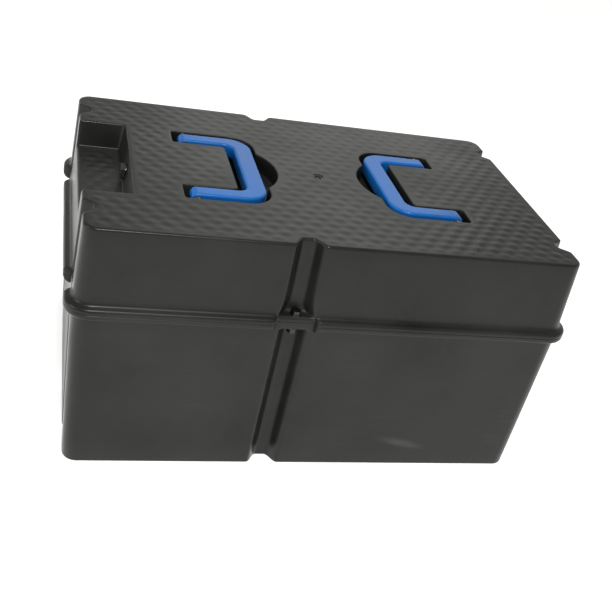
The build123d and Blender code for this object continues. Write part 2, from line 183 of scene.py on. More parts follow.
bead_share = np.clip((from_groove - by_side("pad") + 1) / bead_end_length, 0, 1)
bead = bead_reach * np.sqrt(1 - (1 - bead_share) ** 2)


def ring(offset, height):
    """Closed row of points: each station moved outwards by an offset and set at a height."""
    offset = np.broadcast_to(offset, (len(plan),))
    height = np.broadcast_to(height, (len(plan),))
    return np.column_stack([plan + outward * offset[:, None], height])


def strip(rows, closed=True):
    """Quads between successive rows of points, closed round if the rows are rings."""
    rows = np.asarray(rows)
    count, width = rows.shape[:2]
    index = np.arange(count * width).reshape(count, width)
    if closed:
        index = np.concatenate([index, index[:, :1]], axis=1)
    quads = np.stack([index[:-1, :-1], index[:-1, 1:], index[1:, 1:], index[1:, :-1]], axis=-1)
    return rows.reshape(-1, 3), quads.reshape(-1, 4)


def crossings(points, loops):
    """How many loop edges lie to the right of each plan point: odd inside the face, even outside."""
    start = np.concatenate(loops)[:, :2]
    end = np.concatenate([np.roll(loop, -1, axis=0) for loop in loops])[:, :2]
    slope = (end[:, 0] - start[:, 0]) / np.where(end[:, 1] == start[:, 1], 1, end[:, 1] - start[:, 1])
    counts = []
    for part in np.array_split(points, max(1, len(points) // 2000)):
        x, y = part[:, :1], part[:, 1:2]
        spans = (start[:, 1] > y) != (end[:, 1] > y)
        counts.append(np.sum(spans & (x < start[:, 0] + (y - start[:, 1]) * slope), axis=1))
    return np.concatenate(counts)


def fill(loops, inside=None):
    """Delaunay triangles in plan of the face between closed rows of points, the outside one first,
    that keep each point's height. Points inside the face make it finer."""
    starts = np.cumsum([0] + [len(loop) for loop in loops])
    edges = [
        np.column_stack([np.arange(len(loop)), np.roll(np.arange(len(loop)), -1)]) + start
        for loop, start in zip(loops, starts)
    ]
    points = np.concatenate(list(loops) + ([] if inside is None else [inside]))
    found = delaunay_2d_cdt(
        [Vector(p) for p in points[:, :2].tolist()], np.concatenate(edges).tolist(), [], 0, 1e-5
    )
    source = [inputs[0] for inputs in found[3]]
    points, triangles = points[source], np.array(found[2])
    middles = points[triangles].mean(axis=1)
    return points, triangles[crossings(middles, loops) % 2 == 1]


def joined(patches):
    """Patches of points and faces as one list of points and one of faces."""
    points, faces, start = [], [], 0
    for patch_points, patch_faces in patches:
        points.append(patch_points)
        faces += (patch_faces + start).tolist()
        start += len(patch_points)
    return np.concatenate(points), faces


def moulding(name, patches, weld=0.004, sharp=38.0):
    """Object from patches in millimetres: welded where they meet, faces turned outwards, smooth
    apart from its sharp edges."""
    points, faces = joined(patches)
    mesh = bpy.data.meshes.new(name)
    mesh.from_pydata((points * mm).tolist(), [], faces)
    work = bmesh.new()
    work.from_mesh(mesh)
    bmesh.ops.remove_doubles(work, verts=work.verts, dist=weld * mm)
    bmesh.ops.dissolve_degenerate(work, edges=work.edges, dist=weld * mm / 4)
    loose = [v for v in work.verts if not v.link_faces]
    bmesh.ops.delete(work, geom=loose, context="VERTS")
    bmesh.ops.recalc_face_normals(work, faces=work.faces)
    work.to_mesh(mesh)
    work.free()
    mesh.shade_smooth()
    mesh.set_sharp_from_angle(angle=math.radians(sharp))
    made = bpy.data.objects.new(name, mesh)
    bpy.context.scene.collection.objects.link(made)
    return made


# ---- Base ----
# The tub that holds the battery. Its walls lean in towards the foot, its half of the flange is a
# rounded bead, and a pad flush with the wall takes each bolt. The seal lies in a channel.
base_draft = 3.6
base_wall = 4.0
floor_top = 5.0
foot_radius = 2.0
bead_fillet = 3.0
pad_underside = seam - 10.0
bead_underside = seam - 6.5
seam_chamfer = 0.5
rim_inset = 9.5
seal_inset = 5.0
channel_half = 2.1
channel_floor = seam - 4.5
bolt_hole = 3.35
washer_radius = 6.0
washer_gap = 0.4
hair = 0.1


def base_lean(height):
    """How far the base's wall has moved in at a height."""
    return base_draft * (seam - height) / seam


def bolt_centres():
    """Plan points of the six bolts, clear of the grooves' floors by a washer."""
    side_y = half_width - side_bolt["depth"] + washer_radius + washer_gap
    end_x = half_length - end_bolt["depth"] + washer_radius + washer_gap
    sides = [(side_groove_x, way * side_y) for way in (-1, 1)]
    ends = [(x * end_x, y * end_groove_y) for x in (-1, 1) for y in (-1, 1)]
    return np.array(sides + ends)


def circle(centre, radius, height, count=28):
    """Closed row of points round a centre."""
    turn = np.linspace(0, 2 * np.pi, count, endpoint=False)
    x = centre[0] + radius * np.cos(turn)
    y = centre[1] + radius * np.sin(turn)
    return np.column_stack([x, y, np.full(count, height)])


def base_patches():
    """Rings from the foot up the outside, over the flange and down the inside, and the flat faces."""
    cut = groove()
    under = pad_underside + (bead_underside - pad_underside) * smooth_step(bead_share)
    rows = [
        ring(-base_lean(0) - cut - foot_radius * (1 - math.sin(a)), foot_radius * (1 - math.cos(a)))
        for a in quarter
    ]
    wall_end = under - bead_fillet - hair
    for share in np.linspace(0, 1, 8)[1:]:
        height = foot_radius + (wall_end - foot_radius) * share
        rows.append(ring(-base_lean(height) - cut, height))
    ledge = bead + cut + base_lean(wall_end)
    reach = np.minimum(bead_fillet, ledge / 2)
    rows += [
        ring(
            -base_lean(wall_end) - cut + reach * (1 - math.cos(a)),
            wall_end + bead_fillet * math.sin(a),
        )
        for a in quarter[1:]
    ]
    rows += [
        ring(bead - reach * (1 - math.sin(a)), under + bead_fillet * (1 - math.cos(a)))
        for a in quarter
    ]
    rows += [ring(bead, seam - seam_chamfer), ring(bead - seam_chamfer, seam)]
    outside = rows[-1]
    channel = [
        ring(-cut - seal_inset + channel_half, seam),
        ring(-cut - seal_inset + channel_half, channel_floor),
        ring(-cut - seal_inset - channel_half, channel_floor),
        ring(-cut - seal_inset - channel_half, seam),
        ring(-cut - rim_inset, seam),
        ring(-cut - rim_inset, bead_underside),
    ]
    inside_top = bead_underside - 1.5
    for share in np.linspace(0, 1, 7):
        height = inside_top + (floor_top + foot_radius - inside_top) * share
        channel.append(ring(-base_lean(height) - cut - base_wall, height))
    low = floor_top + foot_radius
    channel += [
        ring(
            -base_lean(low) - cut - base_wall - foot_radius * (1 - math.cos(a)),
            low - foot_radius * math.sin(a),
        )
        for a in quarter[1:]
    ]
    holes = [circle(centre, bolt_hole, seam) for centre in bolt_centres()]
    patches = [strip(rows), strip(channel), fill([rows[0]]), fill([channel[-1]])]
    patches.append(fill([outside, channel[0]] + holes))
    for centre, hole in zip(bolt_centres(), holes):
        floor = circle(centre, bolt_hole, pad_underside + hair * 5)
        patches += [strip([hole, floor]), fill([floor])]
    return patches


def group(name, inputs, outputs):
    """Empty shader node group with float inputs, each with a default, and outputs by type."""
    tree = bpy.data.node_groups.new(name, "ShaderNodeTree")
    for label, default in inputs:
        socket = tree.interface.new_socket(label, in_out="INPUT", socket_type="NodeSocketFloat")
        socket.default_value = default
    for label, kind in outputs:
        tree.interface.new_socket(label, in_out="OUTPUT", socket_type=kind)
    return tree, tree.nodes.new("NodeGroupInput"), tree.nodes.new("NodeGroupOutput")


def node(tree, kind, **settings):
    """Node with its properties and named input values set."""
    made = tree.nodes.new(kind)
    for key, value in settings.items():
        if hasattr(made, key):
            setattr(made, key, value)
        else:
            made.inputs[key.replace("_", " ")].default_value = value
    return made


def moulded_group():
    """Moulded plastic: a fine leathery grain, a slow mottle of gloss, sparse pale rub marks, and
    a painted highlight that makes edges paler where the surface bends outwards."""
    tree, given, result = group(
        "moulded_surface",
        [("Grain Size", 900.0), ("Rub", 0.3), ("Painted Edge Highlight", 0.7)],
        [("Height", "NodeSocketFloat"), ("Mottle", "NodeSocketFloat"), ("Rub And Painted Highlight Mask", "NodeSocketFloat")],
    )
    link = tree.links.new
    place = node(tree, "ShaderNodeTexCoord")
    grain = node(tree, "ShaderNodeTexNoise", Detail=3.0, Roughness=0.6)
    link(place.outputs["Object"], grain.inputs["Vector"])
    link(given.outputs["Grain Size"], grain.inputs["Scale"])
    link(grain.outputs["Fac"], result.inputs["Height"])
    slow = node(tree, "ShaderNodeTexNoise", Scale=9.0, Detail=4.0, Roughness=0.55)
    link(place.outputs["Object"], slow.inputs["Vector"])
    link(slow.outputs["Fac"], result.inputs["Mottle"])
    stretch = node(tree, "ShaderNodeMapping")
    stretch.inputs["Scale"].default_value = (9.0, 9.0, 70.0)
    stretch.inputs["Rotation"].default_value = (0.2, 0.35, 0.1)
    link(place.outputs["Object"], stretch.inputs["Vector"])
    streak = node(tree, "ShaderNodeTexNoise", Scale=1.6, Detail=6.0, Roughness=0.7)
    link(stretch.outputs[0], streak.inputs["Vector"])
    where = node(tree, "ShaderNodeTexNoise", Scale=5.0, Detail=2.0)
    link(place.outputs["Object"], where.inputs["Vector"])
    sparse = node(tree, "ShaderNodeMapRange", interpolation_type="SMOOTHSTEP")
    sparse.inputs["From Min"].default_value = 0.52
    sparse.inputs["From Max"].default_value = 0.72
    link(where.outputs["Fac"], sparse.inputs["Value"])
    fine = node(tree, "ShaderNodeMapRange", interpolation_type="SMOOTHSTEP")
    fine.inputs["From Min"].default_value = 0.5
    fine.inputs["From Max"].default_value = 0.75
    link(streak.outputs["Fac"], fine.inputs["Value"])
    both = node(tree, "ShaderNodeMath", operation="MULTIPLY")
    link(sparse.outputs[0], both.inputs[0])
    link(fine.outputs[0], both.inputs[1])
    strength = node(tree, "ShaderNodeMath", operation="MULTIPLY")
    link(both.outputs[0], strength.inputs[0])
    link(given.outputs["Rub"], strength.inputs[1])
    # painted highlight: where the surface bends outwards the colour turns paler, standing in for light
    # caught on rounded edges
    bend = node(tree, "ShaderNodeNewGeometry")
    edge = node(tree, "ShaderNodeMapRange", interpolation_type="SMOOTHSTEP")
    edge.inputs["From Min"].default_value = 0.54
    edge.inputs["From Max"].default_value = 0.66
    link(bend.outputs["Pointiness"], edge.inputs["Value"])
    painted_edge_highlight = node(tree, "ShaderNodeMath", operation="MULTIPLY")
    link(edge.outputs[0], painted_edge_highlight.inputs[0])
    link(given.outputs["Painted Edge Highlight"], painted_edge_highlight.inputs[1])
    most = node(tree, "ShaderNodeMath", operation="MAXIMUM")
    link(strength.outputs[0], most.inputs[0])
    link(painted_edge_highlight.outputs[0], most.inputs[1])
    link(most.outputs[0], result.inputs["Rub And Painted Highlight Mask"])
    return tree


def scuff_group():
    """One faint scrape low on the front: full in the middle of a flattened ball and nothing at its
    surface, broken up by streaks along it."""
    tree, given, result = group("scuff", [("Strength", 0.5)], [("Mask", "NodeSocketFloat")])
    link = tree.links.new
    place = node(tree, "ShaderNodeTexCoord")
    ball = node(tree, "ShaderNodeMapping", vector_type="TEXTURE")
    ball.inputs["Location"].default_value = scuff_middle
    ball.inputs["Rotation"].default_value = (0, scuff_tilt, 0)
    ball.inputs["Scale"].default_value = scuff_reach
    link(place.outputs["Object"], ball.inputs["Vector"])
    away = node(tree, "ShaderNodeVectorMath", operation="LENGTH")
    link(ball.outputs[0], away.inputs[0])
    share = node(tree, "ShaderNodeMapRange", interpolation_type="SMOOTHSTEP")
    share.inputs["To Min"].default_value = 1.0
    share.inputs["To Max"].default_value = 0.0
    link(away.outputs["Value"], share.inputs["Value"])
    streak = node(tree, "ShaderNodeTexNoise", Scale=2.5, Detail=5.0, Roughness=0.7)
    link(ball.outputs[0], streak.inputs["Vector"])
    both = node(tree, "ShaderNodeMath", operation="MULTIPLY")
    link(share.outputs[0], both.inputs[0])
    link(streak.outputs["Fac"], both.inputs[1])
    strength = node(tree, "ShaderNodeMath", operation="MULTIPLY")
    link(both.outputs[0], strength.inputs[0])
    link(given.outputs["Strength"], strength.inputs[1])
    link(strength.outputs[0], result.inputs["Mask"])
    return tree


scuff_middle = (0.122, -0.175, 0.035)
scuff_tilt = 0.24
scuff_reach = (0.045, 0.012, 0.009)
moulded_surface = moulded_group()
scuff = scuff_group()


def moulded(name, colour, rub_and_highlight_colour, roughness, grain, depth, rub, specular=0.5, scuffed=0.0, tone=0.12):
    """Material of moulded plastic: a base colour that turns to a paler one at rub marks, scuffs
    and a painted highlight on outward-bending edges, and a roughness range that follows the
    mottle, with the grain as bump."""
    material = bpy.data.materials.new(name)
    material.use_nodes = True
    tree = material.node_tree
    link = tree.links.new
    shader = tree.nodes["Principled BSDF"]
    shader.inputs["Specular IOR Level"].default_value = specular
    surface = tree.nodes.new("ShaderNodeGroup")
    surface.node_tree = moulded_surface
    surface.inputs["Grain Size"].default_value = grain
    surface.inputs["Rub"].default_value = rub
    # the paler colour marks real rubs and scuffs, and is also a painted highlight along edges that bend
    # outwards
    mix = node(tree, "ShaderNodeMix", data_type="RGBA")
    mix.inputs[6].default_value = (*colour, 1)
    mix.inputs[7].default_value = (*rub_and_highlight_colour, 1)
    marks_and_painted_highlight = surface.outputs["Rub And Painted Highlight Mask"]
    if scuffed:
        scrape = tree.nodes.new("ShaderNodeGroup")
        scrape.node_tree = scuff
        scrape.inputs["Strength"].default_value = scuffed
        worst = node(tree, "ShaderNodeMath", operation="MAXIMUM")
        link(marks_and_painted_highlight, worst.inputs[0])
        link(scrape.outputs["Mask"], worst.inputs[1])
        marks_and_painted_highlight = worst.outputs[0]
    link(marks_and_painted_highlight, mix.inputs[0])
    shade = node(tree, "ShaderNodeMapRange")
    shade.inputs["From Min"].default_value = 0.3
    shade.inputs["From Max"].default_value = 0.7
    shade.inputs["To Min"].default_value = 1 - tone
    shade.inputs["To Max"].default_value = 1 + tone
    link(surface.outputs["Mottle"], shade.inputs["Value"])
    toned = node(tree, "ShaderNodeMix", data_type="RGBA", blend_type="MULTIPLY")
    toned.inputs[0].default_value = 1.0
    link(mix.outputs[2], toned.inputs[6])
    link(shade.outputs[0], toned.inputs[7])
    link(toned.outputs[2], shader.inputs["Base Color"])
    rough = node(tree, "ShaderNodeMapRange")
    rough.inputs["From Min"].default_value = 0.3
    rough.inputs["From Max"].default_value = 0.7
    rough.inputs["To Min"].default_value = roughness[0]
    rough.inputs["To Max"].default_value = roughness[1]
    link(surface.outputs["Mottle"], rough.inputs["Value"])
    link(rough.outputs[0], shader.inputs["Roughness"])
    bump = node(tree, "ShaderNodeBump", Strength=depth, Distance=0.0002)
    link(surface.outputs["Height"], bump.inputs["Height"])
    link(bump.outputs[0], shader.inputs["Normal"])
    return material


box_plastic = moulded(
    "box_plastic", colour=(0.0130, 0.0136, 0.0118), rub_and_highlight_colour=(0.05, 0.05, 0.046),
    roughness=(0.24, 0.43), grain=900, depth=0.3, rub=0.35, specular=0.27, scuffed=1.5, tone=0.45,
)
base = moulding("base_moulding", base_patches())
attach(base, "base")
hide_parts("base_shell")
base.data.materials.append(box_plastic)

# ---- Lid ----
# The deep lid is moulded in the same plastic. Its grooves flare on to the bolt pads, its top has
# a lattice of soft bumps, and the handles' pockets and the cable recess are sunk into the top.
lid_draft = 4.5
rim_radius = 3.0
flare_top = seam + 33.0
pad_top = seam + 6.5
lid_fillet = 5.0
bead_rounding = 4.0
tongue_half = 1.5
tongue_low = seam - 1.9
lattice_x = 20.0
lattice_y = 27.2
bump_height = 0.33
lattice_margin = (3.0, 11.0)
grain_step = 2.6
row_share = 0.87
bolt_recess = 5.5
bolt_recess_depth = 1.2


def lid_lean(height):
    """How far the lid's wall has moved in at a height."""
    return lid_draft * (height - seam) / (lid_top - seam)


def flare_at(height):
    """How far a groove has opened: nothing at the flare's top, fully open on the pad, by a square."""
    return np.clip((flare_top - np.maximum(height, pad_top)) / (flare_top - pad_top), 0, 1) ** 2


def rim_height(profile, plain):
    """Height of an edge at each station: plain, and down a step's section across the recess."""
    across = recess_half - profile[::-1, 0]
    down = np.interp(np.abs(along_side), across, profile[::-1, 1], left=profile[-1, 1], right=plain)
    return np.where(side_kind == 2, down, plain)


def bumps(points):
    """Height of the lattice: three crossed waves, whose crests stand in staggered rows."""
    x = points[:, 0] / lattice_x
    y = points[:, 1] / lattice_y
    waves = np.cos(2 * np.pi * (x + y)) + np.cos(2 * np.pi * (x - y)) + np.cos(4 * np.pi * y)
    return bump_height * waves / 2


def clearance(points, loops):
    """Distance in plan from each point to the loops, measured to points every grain step on them."""
    edge = np.concatenate([subdivided(loop[:, :2], grain_step) for loop in loops])
    nearest = [
        np.min(np.hypot(*(part[:, None, :2] - edge[None]).transpose(2, 0, 1)), axis=1)
        for part in np.array_split(points, max(1, len(points) // 1500))
    ]
    return np.concatenate(nearest)


def lattice_face(loops, height):
    """Face between loops with the lattice on it, which fades out towards the edges."""
    low = loops[0][:, :2].min(0)
    high = loops[0][:, :2].max(0)
    x, y = np.meshgrid(
        np.arange(low[0], high[0], grain_step), np.arange(low[1], high[1], grain_step * row_share)
    )
    x[1::2] += grain_step / 2
    points = np.column_stack([x.ravel(), y.ravel(), np.full(x.size, height)])
    points = points[crossings(points, loops) % 2 == 1]
    room = clearance(points, loops)
    kept = room > grain_step * 0.6
    points, room = points[kept], room[kept]
    fade = smooth_step((room - lattice_margin[0]) / (lattice_margin[1] - lattice_margin[0]))
    points[:, 2] += bumps(points) * fade
    return fill(loops, points)


def rounded_path(corners, radii, closed=True, arc_points=9, step=None):
    """Plan path through corners, each turned by an arc of its radius with a fixed number of points,
    so that paths with other sizes match it point for point. Radius 0 keeps the corner as it is."""
    corners = np.array(corners, float)
    count = len(corners)
    points = []
    for i, radius in enumerate(radii):
        here = corners[i]
        if radius == 0 or (not closed and i in (0, count - 1)):
            points.append(here[None])
            continue
        back = corners[i - 1] - here
        ahead = corners[(i + 1) % count] - here
        back /= np.linalg.norm(back)
        ahead /= np.linalg.norm(ahead)
        half_angle = math.acos(np.clip(back @ ahead, -1, 1)) / 2
        centre = here + (back + ahead) / np.linalg.norm(back + ahead) * radius / math.sin(half_angle)
        start = here + back * radius / math.tan(half_angle) - centre
        sweep = math.pi - 2 * half_angle
        way = np.sign(-back[0] * ahead[1] + back[1] * ahead[0])
        turn = np.linspace(0, sweep, arc_points) * way
        points.append(centre + np.column_stack([
            start[0] * np.cos(turn) - start[1] * np.sin(turn),
            start[0] * np.sin(turn) + start[1] * np.cos(turn),
        ]))
    return np.concatenate(points)


def subdivided(path, longest, closed=True):
    """The path with points added evenly on every stretch longer than the longest allowed."""
    ends = np.roll(path, -1, axis=0) if closed else path[1:]
    starts = path if closed else path[:-1]
    pieces = []
    for a, b in zip(starts, ends):
        cuts = max(1, int(np.ceil(np.linalg.norm(b - a) / longest)))
        pieces.append(a + (b - a) * np.arange(cuts)[:, None] / cuts)
    if not closed:
        pieces.append(path[-1:])
    return np.concatenate(pieces)


# plan of the right handle's pocket, round an island, with a bow for the fingers
handle_low, handle_high = (np.array(corner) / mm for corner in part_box("right_handle"))
grip_x = handle_low[0]
leg_end_x = handle_high[0]
handle_half = handle_high[1]
leg_width = 19.0
grip_width = 22.0
half_thick = (handle_high[2] - handle_low[2]) / 2
pivot = np.array([leg_end_x - half_thick, 0, (handle_high[2] + handle_low[2]) / 2])
pocket_half = 88.0
pocket_floor = lid_top - 20.0
pocket_near = grip_x - 4.5
pocket_far = leg_end_x + 7.0
island_x = grip_x + grip_width + 10.0
island_half = handle_half - leg_width - 4.5
finger_half = 45.0
finger_reach = 18.0
pocket_outer_radius = 28.5
pocket_corner = 4.0
island_corner = 6.0
leg_mouth_corner = 3.0
pocket_wall = 3.0
pocket_step = step_profile(1.3, 0.9, lid_top, pocket_floor, 1.6)
pocket_under = step_profile(0.8, 0.6, ceiling, pocket_floor - pocket_wall, 0.8)
pocket_under[:, 0] -= pocket_wall


def pocket_outline(cusp):
    """Anticlockwise outline of the right pocket, with the finger bow as an arc of a circle and its
    two cusps rounded by a radius."""
    bow_radius = (finger_half**2 + finger_reach**2) / (2 * finger_reach)
    reach = math.asin(finger_half / bow_radius)
    turn = np.linspace(reach, -reach, 26)[1:-1]
    middle = pocket_near - finger_reach + bow_radius
    bow = [(middle - bow_radius * math.cos(a), bow_radius * math.sin(a)) for a in turn]
    corners = [
        (pocket_near, -pocket_half), (pocket_far, -pocket_half), (pocket_far, -island_half),
        (island_x, -island_half), (island_x, island_half), (pocket_far, island_half),
        (pocket_far, pocket_half), (pocket_near, pocket_half), (pocket_near, finger_half),
        *bow, (pocket_near, -finger_half),
    ]
    radii = [
        pocket_outer_radius, pocket_corner, leg_mouth_corner, island_corner, island_corner,
        leg_mouth_corner, pocket_corner, pocket_outer_radius, cusp, *[0] * len(bow), cusp,
    ]
    return subdivided(rounded_path(corners, radii), 5.0)


def pocket_rings(outline, profile, turned):
    """The outline moved in by each distance of a section and set at its height; turned puts it on
    the lid's other half."""
    ahead = np.roll(outline, -1, axis=0) - np.roll(outline, 1, axis=0)
    ahead /= np.linalg.norm(ahead, axis=1)[:, None]
    inward = np.column_stack([-ahead[:, 1], ahead[:, 0]])
    way = -1 if turned else 1
    return [
        np.column_stack([(outline + inward * d) * way, np.full(len(outline), z)]) for d, z in profile
    ]


def recess_lines(profile, edge_inset):
    """Open rows of points along the recess, from the rim at its front to the rim at its back, one
    for each distance and height of a section."""
    lines = []
    for d, z in profile:
        start = -(half_length - lid_lean(z - edge_inset[1]) - edge_inset[0])
        side = recess_half - d
        inner = recess_inner_x - d
        radius = 5.0 - 0.5 * max(d, 0)
        corners = [(start, -side), (inner, -side), (inner, side), (start, side)]
        path = rounded_path(corners, [0, radius, radius, 0], closed=False)
        along = np.concatenate([
            np.linspace(path[0], path[1], 12)[:-1], path[1:10],
            np.linspace(path[9], path[10], 36)[1:-1], path[10:19],
            np.linspace(path[18], path[19], 12)[1:],
        ])
        lines.append(np.column_stack([along, np.full(len(along), z)]))
    return lines


def top_face(edge, profile, edge_inset, pockets, lattice):
    """Everything inside an edge ring: the flat face, the step into the recess, the recess's floor,
    and the pockets with their floors."""
    lines = recess_lines(profile, edge_inset)
    left = side_kind == 2
    across = recess_half - profile[:, 0]
    on_left = left & (np.abs(along_side) < 500)
    floor_part = np.flatnonzero(on_left & (np.abs(along_side) < across[-1] - 1e-4))
    inside_mouth = on_left & (np.abs(along_side) < across[0] + 1e-4)
    order = np.arange(len(edge))
    last = np.flatnonzero(inside_mouth)[-1]
    outside_part = np.roll(order, -(last + 1))[: len(edge) - inside_mouth.sum()]
    plain = np.concatenate([edge[outside_part], lines[0][::-1]])
    floor = np.concatenate([edge[floor_part], lines[-1]])
    lines_patch = strip(lines, closed=False)
    outline = pocket_outline(2.0 if lattice else 7.0)
    rings = [pocket_rings(outline, pockets, turned) for turned in (False, True)]
    holes = [r[0] for r in rings]
    patches = [lines_patch] + [strip(r) for r in rings] + [fill([r[-1]]) for r in rings]
    if lattice:
        patches += [lattice_face([plain] + holes, profile[0, 1]), lattice_face([floor], profile[-1, 1])]
    else:
        patches += [fill([plain] + holes), fill([floor])]
    return patches


def lid_patches():
    """Rings down the outside, across the flange's underside and up the inside, and both top faces."""
    height = rim_height(recess_step, lid_top)
    flat = groove()
    low = height - rim_radius
    rim = [
        ring(-lid_lean(low) - flat - rim_radius * (1 - math.sin(a)), low + rim_radius * math.cos(a))
        for a in quarter
    ]
    rows = list(rim)
    for share in np.linspace(0, 1, 6)[1:]:
        z = low + (flare_top - low) * share
        rows.append(ring(-lid_lean(z) - flat, z))
    wall_end = pad_top + lid_fillet + hair
    for z in np.linspace(flare_top, wall_end, 10)[1:]:
        rows.append(ring(-lid_lean(z) - groove(flare_at(z)), z))
    ledge = bead + groove(flare_at(pad_top)) + lid_lean(pad_top)
    reach = np.minimum(lid_fillet, ledge / 2)
    for a in quarter[1:]:
        z = wall_end - lid_fillet * math.sin(a)
        rows.append(ring(-lid_lean(z) - groove(flare_at(z)) + reach * (1 - math.cos(a)), z))
    reach = np.minimum(bead_rounding, ledge / 2)
    rows += [
        ring(bead - reach * (1 - math.sin(a)), pad_top - bead_rounding * (1 - math.cos(a)))
        for a in quarter
    ]
    rows += [ring(bead, seam + seam_chamfer), ring(bead - seam_chamfer, seam)]
    lip = np.maximum(flat + rim_inset, groove(1.0) + lid_wall + 1.0)
    inner = [
        ring(-flat - seal_inset + tongue_half, seam),
        ring(-flat - seal_inset + tongue_half, tongue_low),
        ring(-flat - seal_inset - tongue_half, tongue_low),
        ring(-flat - seal_inset - tongue_half, seam),
        ring(-lip, seam),
        ring(-lip, pad_top - 1),
    ]
    inside_height = rim_height(recess_under, ceiling)
    for z in np.linspace(pad_top + 1, flare_top, 7):
        inner.append(ring(-lid_lean(z) - groove(flare_at(z)) - lid_wall, z))
    for share in np.linspace(0, 1, 5)[1:]:
        z = flare_top + (inside_height - flare_top) * share
        inner.append(ring(-lid_lean(z) - flat - lid_wall, z))
    holes = [circle(centre, bolt_recess, seam) for centre in bolt_centres()]
    patches = [strip(rows), strip(inner), fill([rows[-1], inner[0]] + holes)]
    for centre, hole in zip(bolt_centres(), holes):
        floor = circle(centre, bolt_recess, seam + bolt_recess_depth)
        patches += [strip([hole, floor]), fill([floor])]
    patches += top_face(rim[0], recess_step, (rim_radius, rim_radius), pocket_step, True)
    patches += top_face(inner[-1], recess_under, (lid_wall, 0.0), pocket_under, False)
    return patches


lid = moulding("lid_moulding", lid_patches())
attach(lid, "lid")
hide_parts("lid_shell")
lid.data.materials.append(box_plastic)

# ---- Gate mark ----
# The scar on the lid's top where the plastic was let into the mould: a low star with a small pit
# in its middle, left by trimming the runner off.
star_points = 80
star_inner = 2.2
star_arm = 4.2
star_steps = ((1.0, -0.3), (1.0, 0.7), (0.85, 1.1), (0.6, 1.0), (0.35, 0.35), (0.15, 0.3))


def gate_mark_patches():
    """A star whose radius swells with the cube of the cosine of five half turns, in rings that
    shrink by a share at each height, from its rim to the pit."""
    turn = np.linspace(0, 2 * np.pi, star_points, endpoint=False)
    star = star_inner + star_arm * np.abs(np.cos(2.5 * turn)) ** 3
    rings = [
        np.column_stack([
            star * share * np.cos(turn), star * share * np.sin(turn),
            np.full(star_points, lid_top + height),
        ])
        for share, height in star_steps
    ]
    return [strip(rings), fill([rings[0]]), fill([rings[-1]])]


gate_mark = moulding("gate_mark", gate_mark_patches())
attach(gate_mark, "lid")
gate_mark.data.materials.append(box_plastic)

# ---- Rests and bosses ----
# Low blocks moulded on the pocket floors, which the folded legs lie on, and the bosses under the
# lid that hold the pins. Both belong to the lid's moulding.
rest_gap = 0.3
rest_half = 6.5
rest_length = 10.0
rest_root = 0.2
rest_rounding = 0.8
boss_reach = 8.0
boss_rounding = 0.6
leg_middle = handle_half - leg_width / 2
rest_start = island_x + 10.0


def raised_block(low, high, radius):
    """Block between two corners of a plan rectangle and two heights, with a rounded top and sides."""
    corners = [(low[0], low[1]), (high[0], low[1]), (high[0], high[1]), (low[0], high[1])]
    outline = rounded_path(corners, [radius * 1.5] * 4)
    section = [(0, low[2])] + [
        (radius * (1 - math.cos(a)), high[2] - radius * (1 - math.sin(a))) for a in quarter
    ]
    rings = pocket_rings(outline, section, False)
    return [strip(rings), fill([rings[0]]), fill([rings[-1]])]


rests = []
bosses = []
for x_way in (-1, 1):
    for y_way in (-1, 1):
        x = sorted((x_way * rest_start, x_way * (rest_start + rest_length)))
        y = y_way * leg_middle
        rests += raised_block(
            (x[0], y - rest_half, pocket_floor - rest_root),
            (x[1], y + rest_half, handle_low[2] - rest_gap), rest_rounding,
        )
        for inner in (island_half - boss_reach, pocket_half):
            y = sorted((y_way * inner, y_way * (inner + boss_reach)))
            bosses += raised_block(
                (x_way * pivot[0] - boss_reach, y[0], pocket_floor - pocket_wall),
                (x_way * pivot[0] + boss_reach, y[1], ceiling), boss_rounding,
            )

for name, patches in (("pocket_rests", rests), ("pin_bosses", bosses)):
    block = moulding(name, patches)
    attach(block, "lid")
    block.data.materials.append(box_plastic)

# ---- Seal ----
# A soft rubber cord of rectangular section lies in the base's channel, all the way round.
seal_half = 1.95
seal_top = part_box("perimeter_seal")[1][2] / mm


def seal_patches():
    """Four rings, one along each edge of the seal's section, joined into a closed tube."""
    middle = -groove() - seal_inset
    rows = [
        ring(middle + seal_half, channel_floor), ring(middle + seal_half, seal_top),
        ring(middle - seal_half, seal_top), ring(middle - seal_half, channel_floor),
        ring(middle + seal_half, channel_floor),
    ]
    return [strip(rows)]


seal_rubber = moulded(
    "seal_rubber", colour=(0.018, 0.018, 0.018), rub_and_highlight_colour=(0.05, 0.05, 0.05),
    roughness=(0.7, 0.85), grain=1600, depth=0.3, rub=0.2,
)
seal = moulding("perimeter_seal_ring", seal_patches())
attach(seal, "base")
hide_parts("perimeter_seal")
seal.data.materials.append(seal_rubber)


# ---- Handles ----
# Two U-shaped handles moulded in blue polypropylene, with soft edges and full round leg ends. Each
# turns on steel pins through its legs and folds flat into its pocket.
handle_outer_radius = 27.0
handle_inner_radius = 12.0
handle_edge = 2.6


